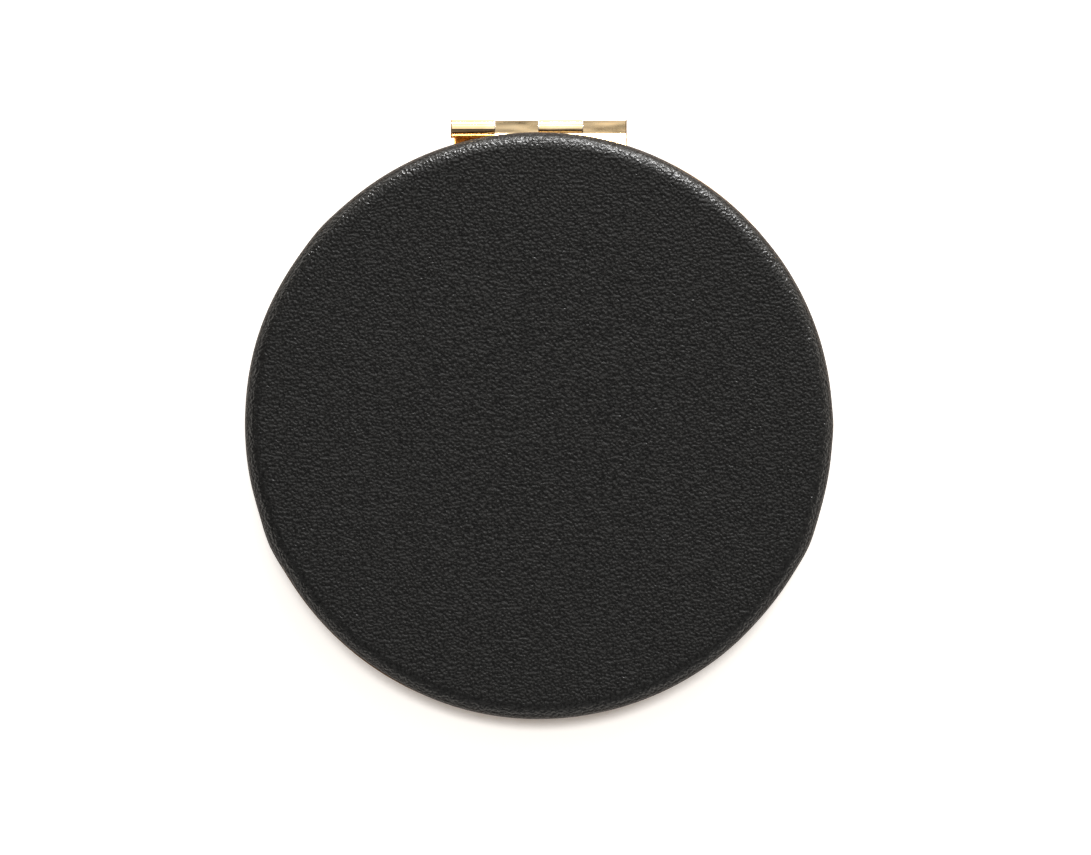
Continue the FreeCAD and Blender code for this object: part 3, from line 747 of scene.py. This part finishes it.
def plated_brass(name, tints, dull, lines, depth, waves=0.0, seam=False):
    """Depth of the marks and of the waves is in mm. Only strip has waves, and only a tray has a seam."""
    material, tree = new_finish(name)
    place = add(tree, "ShaderNodeTexCoord").outputs["Object"]
    marks = tool_marks(tree, place, lines)
    cloud = add(
        tree, "ShaderNodeTexNoise", {"Vector": place, "Scale": 1 / CLOUD, "Detail": 3.0}
    ).outputs["Fac"]
    ramp = add(tree, "ShaderNodeValToRGB", {"Fac": cloud})
    for number in (0, 1):
        ramp.color_ramp.elements[number].position = CLOUD_STOPS[number]
        ramp.color_ramp.elements[number].color = linear(tints[number])
    plating = ramp.outputs["Color"]
    wear = add(tree, "ShaderNodeMath", {0: marks, 1: cloud}, operation="MULTIPLY").outputs[0]
    worn = {"Value": wear, "From Min": MARKS_WEAR[0], "From Max": MARKS_WEAR[1]}
    dulled = {"To Min": dull * DULL_RANGE[0], "To Max": dull * DULL_RANGE[1]}
    rough = add(tree, "ShaderNodeMapRange", {**worn, **dulled}).outputs["Result"]
    bump = add(tree, "ShaderNodeBump", {"Height": marks, "Strength": 0.5, "Distance": depth * MM})
    if waves:
        tree.links.new(rolled_swell(tree, place, waves), bump.inputs["Normal"])
    shader = add(
        tree,
        "ShaderNodeBsdfPrincipled",
        {"Base Color": plating, "Metallic": 1.0, "Roughness": rough, "Normal": bump.outputs["Normal"]},
    )
    # a strip gets bare brown ends, a tray a seam browned by dust and painted shade
    if waves or seam:
        brown_ends_and_seam_shade(tree, shader, plating, unbrowned_share(tree, place, seam))
    add(tree, "ShaderNodeOutputMaterial", {"Surface": shader.outputs[0]})
    return material


tray_gold = plated_brass(
    "polished_gold_plated_brass", ("#D9AE74", "#E8C48E"), 0.28, (0.5, 0.5, 1.2), 0.002, seam=True
)
leaf_gold = plated_brass("rolled_gold_plated_brass", HINGE_TINTS, 0.28, (1.6, 0.14, 0.14), 0.003, 0.13)
knuckle_gold = plated_brass("burnished_gold_plated_brass", HINGE_TINTS, 0.13, (1.6, 0.3, 0.3), 0.002, 0.06)
ring_gold = plated_brass("turned_gold_plated_brass", ("#E3BC84", "#F1CF9C"), 0.17, None, 0.004)
print("gold finishes:", tray_gold.name, leaf_gold.name, knuckle_gold.name, ring_gold.name)

# %% [markdown]
# ## Glass
# A mirror is clear glass with silver behind it. Seen from the front it acts as an almost perfect metal
# with a faint green-grey tint, so it is made as a very smooth metal. Fingers leave soft smears, which
# show only as a little blur in the reflection.

# %% Silvered glass
SMEAR = 14 * MM
SMEARED = (0.45, 0.75)
CLEAN_DULL, SMEAR_DULL = 0.01, 0.02


def silvered_glass():
    material, tree = new_finish("silvered_glass")
    place = add(tree, "ShaderNodeTexCoord").outputs["Object"]
    smear = add(
        tree, "ShaderNodeTexNoise", {"Vector": place, "Scale": 1 / SMEAR, "Detail": 4.0, "Distortion": 1.2}
    ).outputs["Fac"]
    touched = {"Value": smear, "From Min": SMEARED[0], "From Max": SMEARED[1]}
    blur = {"To Min": CLEAN_DULL, "To Max": SMEAR_DULL}
    rough = add(tree, "ShaderNodeMapRange", {**touched, **blur}).outputs["Result"]
    colour = add(tree, "ShaderNodeValToRGB", {"Fac": smear})
    colour.color_ramp.elements[0].color = linear("#F4F7F5")
    colour.color_ramp.elements[1].color = linear("#EDF1EF")
    shader = add(
        tree,
        "ShaderNodeBsdfPrincipled",
        {"Base Color": colour.outputs["Color"], "Metallic": 1.0, "Roughness": rough},
    )
    add(tree, "ShaderNodeOutputMaterial", {"Surface": shader.outputs[0]})
    return material


glass = silvered_glass()
print(glass.name, "with smears of", round(SMEAR / MM), "mm")

# %% [markdown]
# ## Inner pieces
# Board, foam, glue, tape, magnets and pin hardly show, but each is a real piece and keeps a finish of
# its own: fibres in grey board, cells in foam, ripples in a film of glue, grinding marks on metal. They
# differ only in colour, grain and gloss, so one function makes them all.

# %% Finishes of the inner pieces
GRAIN_STOPS = (0.35, 0.65)
DULL_SPREAD = 0.12  # how far the grain changes the dullness


def grained(name, dark, light, grain_mm, dull, depth_mm, metallic=0.0):
    material, tree = new_finish(name)
    place = add(tree, "ShaderNodeTexCoord").outputs["Object"]
    scale = [1 / (size * MM) for size in grain_mm]
    spread = add(tree, "ShaderNodeMapping", {"Vector": place, "Scale": scale}).outputs[0]
    grain = add(tree, "ShaderNodeTexNoise", {"Vector": spread, "Scale": 1.0, "Detail": 4.0}).outputs["Fac"]
    colour = add(tree, "ShaderNodeValToRGB", {"Fac": grain})
    colour.color_ramp.elements[0].position = GRAIN_STOPS[0]
    colour.color_ramp.elements[0].color = linear(dark)
    colour.color_ramp.elements[1].position = GRAIN_STOPS[1]
    colour.color_ramp.elements[1].color = linear(light)
    rough = add(
        tree,
        "ShaderNodeMapRange",
        {"Value": grain, "To Min": dull - DULL_SPREAD, "To Max": dull + DULL_SPREAD},
    ).outputs["Result"]
    bump = add(
        tree, "ShaderNodeBump", {"Height": grain, "Strength": 0.6, "Distance": depth_mm * MM}
    ).outputs["Normal"]
    shader = add(
        tree,
        "ShaderNodeBsdfPrincipled",
        {"Base Color": colour.outputs["Color"], "Metallic": metallic, "Roughness": rough, "Normal": bump},
    )
    add(tree, "ShaderNodeOutputMaterial", {"Surface": shader.outputs[0]})
    return material


board = grained("grey_bookbinders_board", "#77736C", "#9A958C", (1.5, 0.3, 0.3), 0.85, 0.02)
foam = grained("pale_polyurethane_foam", "#CFCBBE", "#E6E2D6", (0.4, 0.4, 0.4), 0.8, 0.05)
glue = grained("clear_contact_glue", "#B9A878", "#D8CBA4", (3.0, 3.0, 3.0), 0.3, 0.02)
tape = grained("white_foam_tape", "#D8D8D4", "#EDEDEA", (0.3, 0.3, 0.3), 0.75, 0.03)
nickel = grained("nickel_plated_magnet", "#B7B2A8", "#CFCBC2", (2.0, 0.2, 0.2), 0.25, 0.003, 1.0)
steel = grained("ground_steel_pin", "#A39F99", "#C2BEB8", (0.15, 1.5, 1.5), 0.28, 0.003, 1.0)
print("inner finishes:", board.name, foam.name, glue.name, tape.name, nickel.name, steel.name)

# %% [markdown]
# The CAD pieces keep their meshes, and only their material slots change. Each half has the same pieces,
# so one table serves both. The base's leaf is then given its own brighter finish, and the pin its steel.

# %% Put the finishes on the CAD pieces
FINISHES = {
    "tray": tray_gold,
    "hinge_leaf": leaf_gold,
    "hinge_rivets": leaf_gold,
    "bezel_ring": ring_gold,
    "mirror": glass,
    "mirror_tape": tape,
    "magnet": nickel,
    "cover_adhesive": glue,
    "stiffener_board": board,
    "foam_pad": foam,
}


def put_on(node, material):
    mesh = nodes[node].data
    mesh.materials.clear()
    mesh.materials.append(material)


for half in ("lid", "base"):
    for piece, material in FINISHES.items():
        put_on(f"{half}_{piece}", material)
put_on("base_hinge_leaf", knuckle_gold)
put_on("hinge_pin", steel)
print("finishes on", 2 * len(FINISHES) + 1, "CAD pieces")

# %% [markdown]
# ## Studio
# The photograph has a white ground with a tight shade below the case. The floor is a pale sheet that
# also glows for the camera and for reflections, so that it is white without more light on the object. A
# glow would wash the shadow out, so the sheet glows less where it sees the case close by: Ambient
# Occlusion looks for that, and it looks towards the hinge, where the light comes from, so that the shade
# lies on the near side.

# %% Floor
FLOOR_SIZE = 12.0
FLOOR_GLOW = 0.78
CONTACT = 3.0 * MM  # how near the case the sheet loses some of its glow
LIGHT_SIDE = {"Y": 1.0, "Z": 0.1}
SHADE_STOPS = (0.5, 0.72)  # shares of that sight which are free, in the shade and outside it
SHADE_TINTS = ("#4A3424", "#FFFBF7")
PAPER = "#EEE8DF"


def white_sheet():
    material, tree = new_finish("white_paper_sheet")
    ray = add(tree, "ShaderNodeLightPath").outputs
    either = {0: ray["Is Camera Ray"], 1: ray["Is Glossy Ray"]}
    seen = add(tree, "ShaderNodeMath", either, operation="MAXIMUM").outputs[0]
    through = add(
        tree, "ShaderNodeMath", {0: seen, 1: ray["Is Transmission Ray"]}, operation="MAXIMUM"
    ).outputs[0]
    glow = add(tree, "ShaderNodeMath", {0: through, 1: FLOOR_GLOW}, operation="MULTIPLY").outputs[0]
    towards = add(tree, "ShaderNodeCombineXYZ", LIGHT_SIDE).outputs[0]
    free = add(
        tree, "ShaderNodeAmbientOcclusion", {"Distance": CONTACT, "Normal": towards}, samples=16
    ).outputs["AO"]
    tint = add(tree, "ShaderNodeValToRGB", {"Fac": free})
    for number in (0, 1):
        tint.color_ramp.elements[number].position = SHADE_STOPS[number]
        tint.color_ramp.elements[number].color = linear(SHADE_TINTS[number])
    light = add(tree, "ShaderNodeEmission", {"Color": tint.outputs["Color"], "Strength": glow})
    paper = add(tree, "ShaderNodeBsdfDiffuse", {"Color": linear(PAPER)})
    sheet = add(tree, "ShaderNodeAddShader", {0: light.outputs[0], 1: paper.outputs[0]})
    add(tree, "ShaderNodeOutputMaterial", {"Surface": sheet.outputs[0]})
    return material


floor_mesh = bpy.data.meshes.new("floor")
reach = FLOOR_SIZE / 2
floor_mesh.from_pydata(
    [(-reach, -reach, 0), (reach, -reach, 0), (reach, reach, 0), (-reach, reach, 0)],
    [],
    [(0, 1, 2, 3)],
)
floor_mesh.materials.append(white_sheet())
floor = bpy.data.objects.new("floor", floor_mesh)
bpy.context.scene.collection.objects.link(floor)
print("floor", FLOOR_SIZE, "m wide")

# %% [markdown]
# What is overhead shows in the flat faces of the hinge, and its change from the near side to the far side
# is what lights one slope of each wrinkle and leaves the other dark. So the room is a plain grey world
# that gets brighter beyond the zenith, and low down it is dim on the far left and brighter near by.
# Large lamps could draw the same, but a graded world has no edges that polished metal would show.

# %% Room
ABOVE_NEAR, ABOVE_FAR = 0.12, 2.0  # overhead, on the near side and beyond the middle
ABOVE_BLEND = (-0.12, 0.3)
ROOM_DARK, ROOM_LIGHT = 0.25, 0.85  # low down, on the far left and on the near side
ROOM_BLEND = (-0.3, 1.0)
NEAR_SIDE = (0.3, -1.0, 0.0)
OVERHEAD = (0.8, 0.96)  # heights between which low down goes over into overhead

world = bpy.data.worlds.new("studio_room")
world.use_nodes = True
bpy.context.scene.world = world
room = world.node_tree
room.nodes.clear()
direction = add(room, "ShaderNodeTexCoord").outputs["Generated"]
near = add(
    room, "ShaderNodeVectorMath", {0: direction, 1: NEAR_SIDE}, operation="DOT_PRODUCT"
).outputs["Value"]
axes = add(room, "ShaderNodeSeparateXYZ", {0: direction}).outputs
low_down = {"Value": near, "From Min": ROOM_BLEND[0], "From Max": ROOM_BLEND[1]}
around = add(
    room, "ShaderNodeMapRange", {**low_down, "To Min": ROOM_DARK, "To Max": ROOM_LIGHT}
).outputs["Result"]
zenith = {"Value": axes["Y"], "From Min": ABOVE_BLEND[0], "From Max": ABOVE_BLEND[1]}
above = add(
    room, "ShaderNodeMapRange", {**zenith, "To Min": ABOVE_NEAR, "To Max": ABOVE_FAR}
).outputs["Result"]
height = {"Value": axes["Z"], "From Min": OVERHEAD[0], "From Max": OVERHEAD[1]}
level = add(room, "ShaderNodeMapRange", {**height, "To Min": around, "To Max": above}).outputs["Result"]
background = add(room, "ShaderNodeBackground", {"Strength": level})
add(room, "ShaderNodeOutputWorld", {"Surface": background.outputs[0]})
print("room from", ROOM_DARK, "to", ROOM_LIGHT, "low down,", ABOVE_NEAR, "to", ABOVE_FAR, "above")

# %% [markdown]
# A bright band runs along the far edge of the leather and over the round knuckles. A camera that looks
# straight down sees a low light mirrored in an edge that is tilted almost half way, so a narrow strip
# light low beyond the hinge draws that band. A dim softbox above it fills the step between strip and room.

# %% Two soft lights beyond the hinge
LAMP_DISTANCE = 1.25
LAMP_AZIMUTH = 12  # degrees to the right of the hinge
# Name, elevation in degrees, width and height in metres, radiance
LAMPS = [("low_strip", 6, 1.2, 0.22, 56.0), ("high_softbox", 42, 1.2, 0.7, 2.2)]


def soft_light(name, elevation, width, height, radiance):
    data = bpy.data.lights.new(name, "AREA")
    data.shape = "RECTANGLE"
    data.size, data.size_y = width, height
    data.energy = radiance * math.pi * width * height
    lamp = bpy.data.objects.new(name, data)
    up, aside = math.radians(elevation), math.radians(LAMP_AZIMUTH)
    flat = LAMP_DISTANCE * math.cos(up)
    lamp.location = (flat * math.sin(aside), flat * math.cos(aside), LAMP_DISTANCE * math.sin(up))
    lamp.rotation_euler = (-lamp.location).to_track_quat("-Z", "Y").to_euler()
    bpy.context.scene.collection.objects.link(lamp)
    return lamp


for settings in LAMPS:
    lamp = soft_light(*settings)
    print(f"{lamp.name}: {lamp.data.energy:.1f} W")
